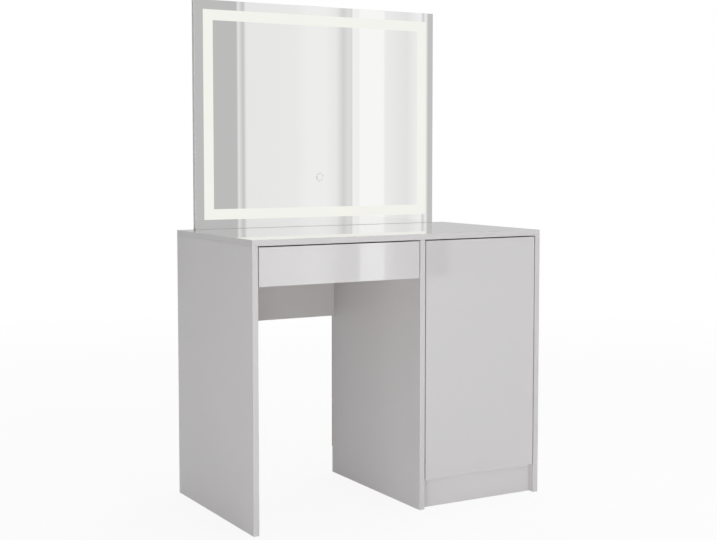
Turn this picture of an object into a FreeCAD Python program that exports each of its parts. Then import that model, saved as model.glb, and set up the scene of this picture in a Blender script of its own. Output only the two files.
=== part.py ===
import FreeCAD, Part
import math
import os

# Dressing table: a drawer over a knee space, a cupboard at the right, a lit mirror on the rear of the top.
# Millimetres. +X to the right, +Y to the rear, +Z up, origin on the floor under the middle of the table.

# Carcass boards
table_width = 900.0
table_depth = 500.0
table_height = 755.0
board = 16.0
edge_round = 0.8
knee_width = 482.0
rail_height = 257.0
plinth_height = 80.0
plinth_setback = 20.0
stretcher_height = 80.0
back_sheet = 3.0
rebate_width = 10.0
back_play = 0.5
shelf_level = 410.0
shelf_setback = 45.0
shelf_play = 0.5

# Shelf pins
pin_radius = 2.5
pin_in_panel = 10.0
pin_tab_length = 8.0
pin_tab_width = 8.0
pin_tab_height = 5.0
pin_front_inset = 30.0
pin_rear_inset = 60.0

# Dowels and cam fittings
dowel_radius = 4.0
slim_dowel_radius = 3.0
dowel_in_face = 10.0
dowel_in_edge = 20.0
dowel_end_gap = 1.0
fit = 0.05
cam_setback = 24.0
cam_radius = 7.5
slim_cam_radius = 6.0
cam_skin = 2.5
cam_fit = 0.1
cam_slot_width = 1.4
cam_slot_depth = 1.5
bolt_radius = 2.5
bolt_in_face = 9.0
bolt_neck_radius = 1.8
bolt_head_radius = 2.8
bolt_head_length = 5.2
bolt_room = 0.2
top_front_dowel = 60.0
top_front_cam = 110.0
top_rear_cam = 60.0
top_rear_dowel = 110.0
rail_low_dowel = 32.0
rail_cam = 96.0
rail_high_dowel = 160.0
floor_front_dowel = 50.0
floor_cam = 130.0
floor_rear_dowel = 60.0
stretcher_dowel = 20.0
stretcher_cam = 60.0
plinth_low_dowel = 20.0
plinth_high_dowel = 60.0

# Countersunk screws and nails
screw_radius = 1.75
screw_head_radius = 3.5
screw_tip = 2.5
screw_tip_radius = 0.5
screw_cross_span = 3.6
screw_cross_width = 0.9
screw_cross_depth = 1.3
nail_radius = 0.7
nail_length = 20.0
nail_head_radius = 1.6
nail_head = 0.5
nail_spacing = 130.0
nail_edge = 8.0

# Drawer
front_gap = 3.0
drawer_side_gap = 2.5
drawer_front_height = 100.0
drawer_rear_gap = 18.0
drawer_wall = 12.0
drawer_wall_height = 80.0
drawer_wall_lift = 8.0
drawer_sheet = 3.0
groove_lift = 8.0
groove_depth = 6.0
groove_fit = 0.1
groove_end_play = 0.5
drawer_low_dowel = 24.0
drawer_cam = 44.0
drawer_high_dowel = 64.0
drawer_back_low_screw = 34.0
drawer_back_high_screw = 64.0
drawer_back_screw_length = 40.0

# Roller runners
runner_space = 12.5
runner_sheet = 1.2
runner_front_gap = 2.0
channel_lift = 2.0
channel_edge_gap = 1.5
roller_radius = 9.0
roller_room = 5.0
roller_gap = 0.3
roller_side_gap = 0.5
roller_inset = 18.0
roller_round = 0.6
roller_dish_inner = 4.6
roller_dish_outer = 7.6
roller_dish_depth = 1.2
flange_web_gap = 1.0
flange_head_room = 0.4
rivet_radius = 2.5
rivet_fit = 0.05
rivet_head_radius = 4.0
rivet_head = 0.6
rivet_head_gap = 0.3
channel_screw_length = 12.0
runner_screw_length = 9.0
runner_screw_lift = 16.0
runner_screw_front = 60.0
runner_screw_rear = 70.0

# Door and its concealed hinges
door_side_gap = 3.0
door_foot_gap = 2.0
hinge_inset = 100.0
hinge_pin_depth = 8.4
hinge_pin_radius = 2.0
hinge_pin_fit = 0.05
hinge_barrel_radius = 3.6
hinge_barrel_gap = 0.2
swing_room = 0.5
cup_radius = 17.5
cup_wall = 0.8
cup_pin_inset = 6.0
cup_flange = 1.0
cup_rim = 2.0
cup_wing_width = 14.0
cup_wing_reach = 31.0
cup_screw_spread = 24.0
cup_screw_length = 11.0
arm_strip = 2.5
arm_height = 12.0
arm_hook = 13.0
arm_foot_height = 22.0
arm_foot_length = 48.0
arm_front_screw = 15.0
arm_rear_screw = 38.0
arm_screw_length = 13.0

# Push latch
latch_level = 560.0
latch_width = 18.0
latch_height = 14.0
latch_length = 62.0
latch_plate = 3.0
latch_plate_height = 44.0
latch_plate_length = 30.0
latch_plate_inset = 12.0
latch_screw_spread = 16.0
latch_screw_length = 13.0
latch_nose = 2.0
latch_bore_end = 6.0
plunger_radius = 4.0
plunger_fit = 0.06
plunger_length = 46.0
plunger_round = 0.8
strike_radius = 5.5
strike_plate = 1.0
strike_gap = 0.3

# Mirror and its light
mirror_width = 800.0
mirror_height = 650.0
mirror_backing = 12.0
mirror_pane = 4.0
pane_round = 0.6
band_inset = 27.0
band_width = 30.0
light_groove_depth = 8.0
light_strip_width = 10.0
light_strip = 1.0
chip_length = 5.0
chip_width = 3.0
chip_height = 0.9
chip_spacing = 33.3
sensor_level = 146.0
sensor_size = 20.0
sensor_thickness = 3.0
sensor_room = 2.0
sensor_pocket_depth = 6.0
lead_radius = 1.2
lead_channel_width = 5.0
inlet_radius = 5.0
inlet_cover = 1.0
inlet_bore_radius = 3.0
inlet_floor = 2.0
inlet_pin_radius = 0.9
inlet_gap = 0.3
mirror_dowel_spread = 150.0
strap_thickness = 2.0
strap_width = 25.0
strap_spread = 250.0
strap_round = 0.5
strap_end = 12.0
strap_low_screw = 14.0
strap_high_screw = 72.0
strap_rail_screw = 20.0
strap_rail_screw_step = 30.0
strap_screw_length = 11.0

# Places worked out from the sizes above
V = FreeCAD.Vector
RIGHT = V(1, 0, 0)
LEFT = V(-1, 0, 0)
REAR = V(0, 1, 0)
FRONT = V(0, -1, 0)
UP = V(0, 0, 1)
DOWN = V(0, 0, -1)

x_left = -table_width / 2
x_right = table_width / 2
x_knee_left = x_left + board
x_knee_right = x_knee_left + knee_width
x_cupboard_left = x_knee_right + board
x_cupboard_right = x_right - board
y_front = -(table_depth + strap_thickness) / 2
y_rear = y_front + table_depth
y_back_sheet = y_rear - back_sheet
y_behind_fronts = y_front + board
z_under_top = table_height - board
z_rail = z_under_top - rail_height
z_stretcher = z_under_top - stretcher_height
z_cupboard_floor = plinth_height + board
z_fronts_top = z_under_top - front_gap

# The hinge pin stands where the door's front corner just passes the side panel.
swing_gap = door_side_gap - swing_room
pin_from_edge = (hinge_pin_depth ** 2 - swing_gap ** 2) / (2 * swing_gap)
pin_to_rear_face = board - hinge_pin_depth
door_sweep = math.hypot(pin_from_edge, pin_to_rear_face)
x_door_left = x_cupboard_left + door_side_gap
x_door_right = x_cupboard_right - door_side_gap
z_door = plinth_height + door_foot_gap
x_hinge = x_door_right - pin_from_edge
y_hinge = y_front + hinge_pin_depth
hinge_levels = {"lower": z_door + hinge_inset, "upper": z_fronts_top - hinge_inset}
floor_setback = hinge_pin_depth + door_sweep + 2 * swing_room
cup_offset = cup_radius - cup_pin_inset

z_drawer_front = z_fronts_top - drawer_front_height
z_drawer_wall = z_drawer_front + drawer_wall_lift
z_drawer_wall_top = z_drawer_wall + drawer_wall_height
z_drawer_groove = z_drawer_wall + groove_lift
y_drawer_end = y_rear - board - drawer_rear_gap
z_channel = z_drawer_wall + channel_lift
z_roller = z_channel + roller_gap + roller_radius
z_flange = z_roller + roller_radius + roller_gap
z_channel_top = z_flange + runner_sheet + flange_head_room
channel_flange = runner_space - runner_sheet - channel_edge_gap
roller_width = runner_space - roller_room

y_pane = y_rear - mirror_backing - mirror_pane
y_backing = y_rear - mirror_backing
x_mirror = mirror_width / 2
z_mirror_top = table_height + mirror_height
strip_inset = band_inset + (band_width - light_strip_width) / 2
inlet_length = mirror_backing - inlet_cover
inlet_bore_depth = inlet_length - inlet_floor

nodes = {}
bores = {}


def add(node, solid):
    nodes.setdefault(node, []).append(solid)


def bore(node, tool):
    bores.setdefault(node, []).append(tool)


def box(x0, y0, z0, x1, y1, z1):
    low = V(min(x0, x1), min(y0, y1), min(z0, z1))
    return Part.makeBox(abs(x1 - x0), abs(y1 - y0), abs(z1 - z0), low)


def slab(x0, y0, z0, x1, y1, z1, radius=edge_round):
    blank = box(x0, y0, z0, x1, y1, z1)
    return blank.makeFillet(radius, blank.Edges)


def rod(start, direction, radius, length):
    return Part.makeCylinder(radius, length, start, direction)


def turned(shape, seat, direction):
    placed = shape.copy()
    placed.Placement = FreeCAD.Placement(seat, FreeCAD.Rotation(UP, direction))
    return placed


def cross(span, width, depth):
    along = box(-span / 2, -width / 2, 0, span / 2, width / 2, depth)
    across = box(-width / 2, -span / 2, 0, width / 2, span / 2, depth)
    return along.fuse(across)


def screw(node, seat, direction, length, held_by):
    head_depth = screw_head_radius - screw_radius
    head = Part.makeCone(screw_head_radius, screw_radius, head_depth)
    stem = rod(V(0, 0, 0), UP, screw_radius, length - screw_tip)
    tip = Part.makeCone(screw_radius, screw_tip_radius, screw_tip, V(0, 0, length - screw_tip), UP)
    body = head.fuse([stem, tip]).removeSplitter()
    body = body.cut(cross(screw_cross_span, screw_cross_width, screw_cross_depth))
    add(node, turned(body, seat, direction))
    countersink = Part.makeCone(screw_head_radius + fit, screw_radius + fit, head_depth)
    hole = countersink.fuse(rod(V(0, 0, 0), UP, screw_radius + fit, length + fit))
    for holder in held_by:
        bore(holder, turned(hole, seat, direction))


def dowel(node, joint, inward, radius, face_board, edge_board):
    start = joint - inward * dowel_in_face
    length = dowel_in_face + dowel_in_edge
    add(node, rod(start, inward, radius, length))
    hole = rod(start - inward * dowel_end_gap, inward, radius + fit, length + 2 * dowel_end_gap)
    bore(face_board, hole)
    bore(edge_board, hole)


def cam(kind, joint, inward, disc_out, thickness, radius, face_board, edge_board):
    disc_depth = thickness - cam_skin
    mouth = joint + inward * cam_setback + disc_out * (thickness / 2)
    slot_end = cam_setback + bolt_head_length / 2 + bolt_room
    head_start = cam_setback - bolt_head_length / 2
    shaft_end = cam_setback - radius
    bolt_way = rod(joint, inward, bolt_head_radius + bolt_room, slot_end)
    disc = rod(mouth, disc_out * -1, radius - cam_fit, disc_depth - cam_fit).cut(bolt_way)
    drive = cross(2 * bolt_head_radius, cam_slot_width, cam_slot_depth)
    add(kind + "cam_discs", disc.cut(turned(drive, mouth, disc_out * -1)))
    shaft = rod(joint - inward * bolt_in_face, inward, bolt_radius, bolt_in_face + shaft_end)
    neck = rod(joint + inward * shaft_end, inward, bolt_neck_radius, head_start - shaft_end)
    head = rod(joint + inward * head_start, inward, bolt_head_radius, bolt_head_length)
    add(kind + "cam_bolts", shaft.fuse([neck, head]))
    thread_hole = rod(joint - inward * bolt_in_face, inward, bolt_radius + fit, bolt_in_face)
    bore(face_board, thread_hole)
    bore(edge_board, bolt_way)
    bore(edge_board, rod(mouth, disc_out * -1, radius, disc_depth))


def carcass_boards():
    add("left_side_panel", slab(x_left, y_front, 0, x_knee_left, y_rear, z_under_top))
    add("divider_panel", slab(x_knee_right, y_front, 0, x_cupboard_left, y_back_sheet, z_under_top))
    add("right_side_panel", slab(x_cupboard_right, y_front, 0, x_right, y_rear, z_under_top))
    add("top_panel", slab(x_left, y_front, z_under_top, x_right, y_rear, table_height))
    add("knee_back_rail", slab(x_knee_left, y_rear - board, z_rail, x_knee_right, y_rear, z_under_top))
    y_plinth = y_front + plinth_setback
    plinth = slab(x_cupboard_left, y_plinth, 0, x_cupboard_right, y_plinth + board, plinth_height)
    add("plinth_board", plinth)
    y_floor = y_front + floor_setback
    floor = slab(x_cupboard_left, y_floor, plinth_height, x_cupboard_right, y_back_sheet, z_cupboard_floor)
    add("cupboard_floor", floor)
    y_stretcher = y_back_sheet - board
    stretcher = slab(x_cupboard_left, y_stretcher, z_stretcher, x_cupboard_right, y_back_sheet, z_under_top)
    add("cupboard_stretcher", stretcher)


def carcass_joints():
    top_joints = (
        ("left_side_panel", x_left + board / 2, RIGHT),
        ("divider_panel", x_knee_right + board / 2, RIGHT),
        ("right_side_panel", x_right - board / 2, LEFT),
    )
    for panel, x, disc_out in top_joints:
        for y in (y_front + top_front_dowel, y_rear - top_rear_dowel):
            dowel("carcass_dowels", V(x, y, z_under_top), DOWN, dowel_radius, "top_panel", panel)
        for y in (y_front + top_front_cam, y_rear - top_rear_cam):
            joint = V(x, y, z_under_top)
            cam("carcass_", joint, DOWN, disc_out, board, cam_radius, "top_panel", panel)

    y_rail = y_rear - board / 2
    rail_ends = ((x_knee_left, RIGHT, "left_side_panel"), (x_knee_right, LEFT, "divider_panel"))
    for x, inward, panel in rail_ends:
        for lift in (rail_low_dowel, rail_high_dowel):
            joint = V(x, y_rail, z_rail + lift)
            dowel("carcass_dowels", joint, inward, dowel_radius, panel, "knee_back_rail")
        joint = V(x, y_rail, z_rail + rail_cam)
        cam("carcass_", joint, inward, REAR, board, cam_radius, panel, "knee_back_rail")

    y_plinth = y_front + plinth_setback + board / 2
    y_stretcher = y_back_sheet - board / 2
    z_floor = plinth_height + board / 2
    y_floor = y_front + floor_setback
    cupboard_ends = ((x_cupboard_left, RIGHT, "divider_panel"), (x_cupboard_right, LEFT, "right_side_panel"))
    for x, inward, panel in cupboard_ends:
        for y in (y_floor + floor_front_dowel, y_back_sheet - floor_rear_dowel):
            dowel("carcass_dowels", V(x, y, z_floor), inward, dowel_radius, panel, "cupboard_floor")
        joint = V(x, y_floor + floor_cam, z_floor)
        cam("carcass_", joint, inward, DOWN, board, cam_radius, panel, "cupboard_floor")
        for lift in (plinth_low_dowel, plinth_high_dowel):
            dowel("carcass_dowels", V(x, y_plinth, lift), inward, dowel_radius, panel, "plinth_board")
        joint = V(x, y_stretcher, z_stretcher + stretcher_dowel)
        dowel("carcass_dowels", joint, inward, dowel_radius, panel, "cupboard_stretcher")
        joint = V(x, y_stretcher, z_stretcher + stretcher_cam)
        cam("carcass_", joint, inward, FRONT, board, cam_radius, panel, "cupboard_stretcher")


def nail(x, z, held_by):
    head = rod(V(x, y_rear, z), REAR, nail_head_radius, nail_head)
    stem = rod(V(x, y_rear, z), FRONT, nail_radius, nail_length)
    add("back_nails", head.fuse(stem))
    for holder in ("cupboard_back", held_by):
        bore(holder, rod(V(x, y_rear, z), FRONT, nail_radius + fit, nail_length + fit))


def cupboard_back():
    x_sheet_left = x_knee_right + back_play
    x_sheet_right = x_cupboard_right + rebate_width - back_play
    z_sheet = plinth_height + back_play
    z_sheet_top = z_under_top - back_play
    add("cupboard_back", box(x_sheet_left, y_back_sheet, z_sheet, x_sheet_right, y_rear, z_sheet_top))
    bore("right_side_panel", box(
        x_cupboard_right - back_play, y_back_sheet, plinth_height,
        x_cupboard_right + rebate_width, y_rear + back_play, z_under_top,
    ))
    z_low_row = z_cupboard_floor - nail_edge
    low_run = z_rail - z_low_row
    low_count = math.ceil(low_run / nail_spacing)
    levels = [z_low_row + low_run * step / low_count for step in range(1, low_count)]
    levels.append(z_rail + (rail_low_dowel + rail_cam) / 2)
    levels.append(z_rail + (rail_cam + rail_high_dowel) / 2)
    for z in levels:
        nail(x_knee_right + board / 2, z, "divider_panel")
        nail(x_cupboard_right + rebate_width / 2, z, "right_side_panel")
    x_rows = (x_cupboard_left + nail_edge + dowel_in_edge, x_cupboard_right - nail_edge - dowel_in_edge)
    row_count = math.ceil((x_rows[1] - x_rows[0]) / nail_spacing)
    for step in range(row_count + 1):
        x = x_rows[0] + (x_rows[1] - x_rows[0]) * step / row_count
        nail(x, z_low_row, "cupboard_floor")
        nail(x, z_stretcher + nail_edge, "cupboard_stretcher")


def cupboard_shelf():
    y_shelf = y_front + shelf_setback
    y_shelf_end = y_back_sheet - shelf_play
    x_shelf = x_cupboard_left + shelf_play
    x_shelf_end = x_cupboard_right - shelf_play
    shelf = slab(x_shelf, y_shelf, shelf_level, x_shelf_end, y_shelf_end, shelf_level + board)
    add("cupboard_shelf", shelf)
    for x, inward, panel in ((x_cupboard_left, 1, "divider_panel"), (x_cupboard_right, -1, "right_side_panel")):
        for y in (y_shelf + pin_front_inset, y_shelf_end - pin_rear_inset):
            middle = V(x, y, shelf_level - pin_tab_height / 2)
            peg = rod(middle, RIGHT * -inward, pin_radius, pin_in_panel)
            x_tab = x + inward * pin_tab_length
            half_tab = pin_tab_width / 2
            tab = box(x, y - half_tab, shelf_level - pin_tab_height, x_tab, y + half_tab, shelf_level)
            add("shelf_pins", peg.fuse(tab))
            bore(panel, rod(middle, RIGHT * -inward, pin_radius + fit, pin_in_panel + fit))


def drawer_box():
    x_front = x_knee_left + drawer_side_gap
    x_front_end = x_knee_right - drawer_side_gap
    x_wall = x_knee_left + runner_space
    x_wall_end = x_knee_right - runner_space
    x_inside = x_wall + drawer_wall
    x_inside_end = x_wall_end - drawer_wall
    y_back = y_drawer_end - drawer_wall
    front = slab(x_front, y_front, z_drawer_front, x_front_end, y_behind_fronts, z_fronts_top)
    add("drawer_front", front)
    left = slab(x_wall, y_behind_fronts, z_drawer_wall, x_inside, y_drawer_end, z_drawer_wall_top)
    add("drawer_wall_left", left)
    right = slab(x_inside_end, y_behind_fronts, z_drawer_wall, x_wall_end, y_drawer_end, z_drawer_wall_top)
    add("drawer_wall_right", right)
    back = slab(x_inside, y_back, z_drawer_wall, x_inside_end, y_drawer_end, z_drawer_wall_top)
    add("drawer_back", back)

    tongue = groove_depth - groove_end_play
    add("drawer_bottom", box(
        x_inside - tongue, y_behind_fronts - tongue, z_drawer_groove,
        x_inside_end + tongue, y_back + tongue, z_drawer_groove + drawer_sheet,
    ))
    groove = box(
        x_inside - groove_depth, y_behind_fronts - groove_depth, z_drawer_groove - groove_fit,
        x_inside_end + groove_depth, y_back + groove_depth, z_drawer_groove + drawer_sheet + groove_fit,
    )
    for piece in ("drawer_front", "drawer_wall_left", "drawer_wall_right", "drawer_back"):
        bore(piece, groove)

    walls = (
        ("drawer_wall_left", x_wall, x_wall + drawer_wall / 2, RIGHT),
        ("drawer_wall_right", x_wall_end, x_wall_end - drawer_wall / 2, LEFT),
    )
    for wall, x_outer, x_middle, inward in walls:
        for lift in (drawer_low_dowel, drawer_high_dowel):
            joint = V(x_middle, y_behind_fronts, z_drawer_wall + lift)
            dowel("drawer_dowels", joint, REAR, slim_dowel_radius, "drawer_front", wall)
        joint = V(x_middle, y_behind_fronts, z_drawer_wall + drawer_cam)
        cam("drawer_", joint, REAR, inward, drawer_wall, slim_cam_radius, "drawer_front", wall)
        for lift in (drawer_back_low_screw, drawer_back_high_screw):
            seat = V(x_outer, y_drawer_end - drawer_wall / 2, z_drawer_wall + lift)
            screw("drawer_back_screws", seat, inward, drawer_back_screw_length, (wall, "drawer_back"))


def roller(x0, x1, y):
    width = abs(x1 - x0)
    wheel = rod(V(0, 0, 0), UP, roller_radius, width)
    wheel = wheel.makeFillet(roller_round, wheel.Edges)
    dish = rod(V(0, 0, 0), UP, roller_dish_outer, roller_dish_depth)
    dish = dish.cut(rod(V(0, 0, 0), UP, roller_dish_inner, roller_dish_depth))
    far_dish = dish.translated(V(0, 0, width - roller_dish_depth))
    axle_hole = rod(V(0, 0, 0), UP, rivet_radius + rivet_fit, width)
    wheel = wheel.cut([dish, far_dish, axle_hole])
    return turned(wheel, V(min(x0, x1), y, z_roller), RIGHT)


def runner(side, x_face, into):
    # Lengths across the runner are measured from the carcass board's face, towards the drawer.
    def across(distance):
        return x_face + into.x * distance

    panel = {"left": "left_side_panel", "right": "divider_panel"}[side]
    y_start = y_behind_fronts + runner_front_gap
    channel = box(x_face, y_start, z_channel - runner_sheet,
                  across(runner_sheet), y_drawer_end, z_channel_top + runner_sheet)
    for z in (z_channel - runner_sheet, z_channel_top):
        flange = box(x_face, y_start, z, across(channel_flange), y_drawer_end, z + runner_sheet)
        channel = channel.fuse(flange)
    channel_node = "runner_channel_" + side
    add(channel_node, channel.removeSplitter())
    y_screws = (y_start + runner_screw_front, (y_start + y_drawer_end) / 2, y_drawer_end - runner_screw_rear)
    for y in y_screws:
        seat = V(across(runner_sheet), y, z_roller)
        screw("channel_screws", seat, into * -1, channel_screw_length, (channel_node, panel))

    # Front roller, riveted to the channel
    y_roller = y_start + roller_inset
    near = runner_sheet + roller_side_gap
    far = near + roller_width
    add("front_roller_" + side, roller(across(near), across(far), y_roller))
    rivet_end = far + rivet_head_gap
    rivet = rod(V(x_face, y_roller, z_roller), into, rivet_radius, rivet_end)
    head = rod(V(across(rivet_end), y_roller, z_roller), into, rivet_head_radius, rivet_head)
    add("front_roller_rivets", rivet.fuse(head))
    bore(channel_node, rod(V(x_face, y_roller, z_roller), into, rivet_radius + rivet_fit, runner_sheet))

    # Profile under the drawer wall, with the flange that runs on the front roller
    plate = runner_space - runner_sheet
    wall_inside = runner_space + drawer_wall
    z_under = z_drawer_wall - runner_sheet
    profile = box(across(plate), y_start, z_under, across(runner_space), y_drawer_end, z_flange + runner_sheet)
    sole = box(across(plate), y_start, z_under, across(wall_inside), y_drawer_end, z_drawer_wall)
    near_web = runner_sheet + flange_web_gap
    running = box(across(near_web), y_start, z_flange, across(runner_space), y_drawer_end, z_flange + runner_sheet)
    profile_node = "drawer_runner_" + side
    add(profile_node, profile.fuse([sole, running]).removeSplitter())
    for y in y_screws:
        seat = V(across(plate), y, z_drawer_wall + runner_screw_lift)
        screw("drawer_runner_screws", seat, into, runner_screw_length, (profile_node, "drawer_wall_" + side))

    # Rear roller, riveted to the drawer's profile
    y_roller = y_drawer_end - roller_inset
    near = plate - roller_side_gap
    far = near - roller_width
    add("rear_roller_" + side, roller(across(near), across(far), y_roller))
    rivet_end = far - rivet_head_gap
    rivet_start = V(across(runner_space), y_roller, z_roller)
    rivet = rod(rivet_start, into * -1, rivet_radius, runner_space - rivet_end)
    head = rod(V(across(rivet_end), y_roller, z_roller), into * -1, rivet_head_radius, rivet_head)
    add("rear_roller_rivets", rivet.fuse(head))
    bore(profile_node, rod(rivet_start, into * -1, rivet_radius + rivet_fit, runner_sheet))


def door():
    panel = slab(x_door_left, y_front, z_door, x_door_right, y_behind_fronts, z_fronts_top)
    add("door_panel", panel)
    for side, level in hinge_levels.items():
        hinge(side, level)


def hinge(side, level):
    # Cup let into the door, with its wings on the door's rear face
    x_cup = x_hinge - cup_offset
    cup_depth = pin_to_rear_face + hinge_barrel_radius + hinge_barrel_gap + cup_wall
    mouth = V(x_cup, y_behind_fronts, level)
    cup = rod(mouth, FRONT, cup_radius, cup_depth)
    rim = rod(mouth, REAR, cup_radius + cup_rim, cup_flange)
    half_wing = cup_wing_width / 2
    wings = box(
        x_cup - half_wing, y_behind_fronts, level - cup_wing_reach,
        x_cup + half_wing, y_behind_fronts + cup_flange, level + cup_wing_reach,
    )
    cup = cup.fuse([rim, wings]).removeSplitter()
    inside = rod(mouth + REAR * cup_flange, FRONT, cup_radius - cup_wall, cup_depth - cup_wall + cup_flange)
    pin = rod(V(x_hinge, y_hinge, level - cup_radius), UP, hinge_pin_radius, 2 * cup_radius)
    pin = pin.common(rod(mouth, FRONT, cup_radius, cup_depth))
    cup_node = "hinge_cup_" + side
    pin_hole = rod(V(x_hinge, y_hinge, level - cup_radius), UP, hinge_pin_radius + hinge_pin_fit, 2 * cup_radius)
    add(cup_node, cup.cut([inside, pin_hole]))
    add("hinge_pins", pin)
    bore("door_panel", rod(mouth, FRONT, cup_radius + fit, cup_depth + fit))
    for spread in (-cup_screw_spread, cup_screw_spread):
        seat = V(x_cup, y_behind_fronts + cup_flange, level + spread)
        screw("hinge_cup_screws", seat, FRONT, cup_screw_length, (cup_node, "door_panel"))

    # Arm from the pin, out of the cup, round the door's edge to the side panel
    half_arm = arm_height / 2
    half_foot = arm_foot_height / 2
    half_strip = arm_strip / 2
    x_hook = x_hinge - arm_hook
    y_inner = y_hinge + door_sweep + 2 * swing_room
    y_outer = y_inner + arm_strip
    low = level - half_arm
    high = level + half_arm
    barrel = rod(V(x_hinge, y_hinge, low), UP, hinge_barrel_radius, arm_height)
    bar = box(x_hook, y_hinge - half_strip, low, x_hinge, y_hinge + half_strip, high)
    upright = box(x_hook, y_hinge - half_strip, low, x_hook + arm_strip, y_outer, high)
    bridge = box(x_hook, y_inner, low, x_cupboard_right, y_outer, high)
    x_foot = x_cupboard_right - arm_strip
    foot = box(x_foot, y_inner, level - half_foot, x_cupboard_right, y_inner + arm_foot_length, level + half_foot)
    arm = barrel.fuse([bar, upright, bridge, foot]).removeSplitter()
    eye = rod(V(x_hinge, y_hinge, low), UP, hinge_pin_radius + hinge_pin_fit, arm_height)
    arm_node = "hinge_arm_" + side
    add(arm_node, arm.cut(eye))
    for back in (arm_front_screw, arm_rear_screw):
        seat = V(x_foot, y_inner + back, level)
        screw("hinge_arm_screws", seat, RIGHT, arm_screw_length, (arm_node, "right_side_panel"))


def push_latch():
    x_plunger = x_cupboard_left + latch_width / 2
    y_tip = y_behind_fronts + strike_plate + strike_gap
    y_body = y_tip + latch_nose
    half_height = latch_height / 2
    strike_seat = V(x_plunger, y_behind_fronts, latch_level)
    add("strike_disc", rod(strike_seat, REAR, strike_radius, strike_plate))
    plunger = rod(V(x_plunger, y_tip, latch_level), REAR, plunger_radius, plunger_length)
    add("latch_plunger", plunger.makeFillet(plunger_round, plunger.Edges))
    body = box(
        x_cupboard_left, y_body, latch_level - half_height,
        x_cupboard_left + latch_width, y_body + latch_length, latch_level + half_height,
    )
    y_plate = y_body + latch_plate_inset
    half_plate = latch_plate_height / 2
    plate = box(
        x_cupboard_left, y_plate, latch_level - half_plate,
        x_cupboard_left + latch_plate, y_plate + latch_plate_length, latch_level + half_plate,
    )
    way = rod(V(x_plunger, y_body, latch_level), REAR, plunger_radius + plunger_fit, latch_length - latch_bore_end)
    add("latch_body", body.fuse(plate).removeSplitter().cut(way))
    for spread in (-latch_screw_spread, latch_screw_spread):
        seat = V(x_cupboard_left + latch_plate, y_plate + latch_plate_length / 2, latch_level + spread)
        screw("latch_screws", seat, LEFT, latch_screw_length, ("latch_body", "divider_panel"))


def mirror_ring(inset, width, y0, y1):
    outer = box(-x_mirror + inset, y0, table_height + inset, x_mirror - inset, y1, z_mirror_top - inset)
    inner = inset + width
    hole = box(-x_mirror + inner, y0, table_height + inner, x_mirror - inner, y1, z_mirror_top - inner)
    return outer.cut(hole)


def mirror():
    backing = slab(-x_mirror, y_backing, table_height, x_mirror, y_rear, z_mirror_top)
    add("mirror_board", backing)
    pane = slab(-x_mirror, y_pane, table_height, x_mirror, y_backing, z_mirror_top, pane_round)
    add("mirror_glass", pane)

    # Light strip on the floor of a groove behind the frosted band
    y_groove = y_backing + light_groove_depth
    bore("mirror_board", mirror_ring(band_inset, band_width, y_backing, y_groove))
    y_strip = y_groove - light_strip
    add("led_strip", mirror_ring(strip_inset, light_strip_width, y_strip, y_groove))
    light_chips(y_strip)

    # Touch sensor against the pane, its lead and the power inlet
    z_sensor = table_height + sensor_level
    half = sensor_size / 2
    pocket = half + sensor_room
    add("touch_sensor", box(
        -half, y_backing, z_sensor - half,
        half, y_backing + sensor_thickness, z_sensor + half,
    ))
    bore("mirror_board", box(
        -pocket, y_backing, z_sensor - pocket,
        pocket, y_backing + sensor_pocket_depth, z_sensor + pocket,
    ))
    z_inlet = table_height + strip_inset + light_strip_width + inlet_gap + inlet_radius
    y_lead = y_backing + sensor_thickness / 2
    lead_bottom = V(0, y_lead, z_inlet + inlet_radius)
    add("sensor_lead", rod(lead_bottom, UP, lead_radius, z_sensor - half - lead_bottom.z))
    half_channel = lead_channel_width / 2
    bore("mirror_board", box(
        -half_channel, y_backing, table_height + band_inset,
        half_channel, y_backing + sensor_thickness, z_sensor,
    ))
    socket = rod(V(0, y_rear, z_inlet), FRONT, inlet_radius, inlet_length)
    socket = socket.cut(rod(V(0, y_rear, z_inlet), FRONT, inlet_bore_radius, inlet_bore_depth))
    contact = rod(V(0, y_rear - inlet_bore_depth, z_inlet), REAR, inlet_pin_radius, inlet_bore_depth - fit)
    add("power_inlet", socket.fuse(contact).removeSplitter())
    bore("mirror_board", rod(V(0, y_rear, z_inlet), FRONT, inlet_radius + fit, mirror_backing))

    y_dowel = y_rear - mirror_backing / 2
    for x in (-mirror_dowel_spread, mirror_dowel_spread):
        dowel("mirror_dowels", V(x, y_dowel, table_height), UP, slim_dowel_radius, "top_panel", "mirror_board")


def light_chips(y_strip):
    middle = strip_inset + light_strip_width / 2
    half_long = x_mirror - middle
    z_low = table_height + middle
    z_high = z_mirror_top - middle
    y_chip = y_strip - chip_height
    long_count = int(2 * half_long / chip_spacing)
    for step in range(long_count + 1):
        x = -half_long + 2 * half_long * step / long_count
        for z in (z_low, z_high):
            add("led_chips", box(
                x - chip_length / 2, y_chip, z - chip_width / 2,
                x + chip_length / 2, y_strip, z + chip_width / 2,
            ))
    short_count = int((z_high - z_low) / chip_spacing)
    for step in range(1, short_count):
        z = z_low + (z_high - z_low) * step / short_count
        for x in (-half_long, half_long):
            add("led_chips", box(
                x - chip_width / 2, y_chip, z - chip_length / 2,
                x + chip_width / 2, y_strip, z + chip_length / 2,
            ))


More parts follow.
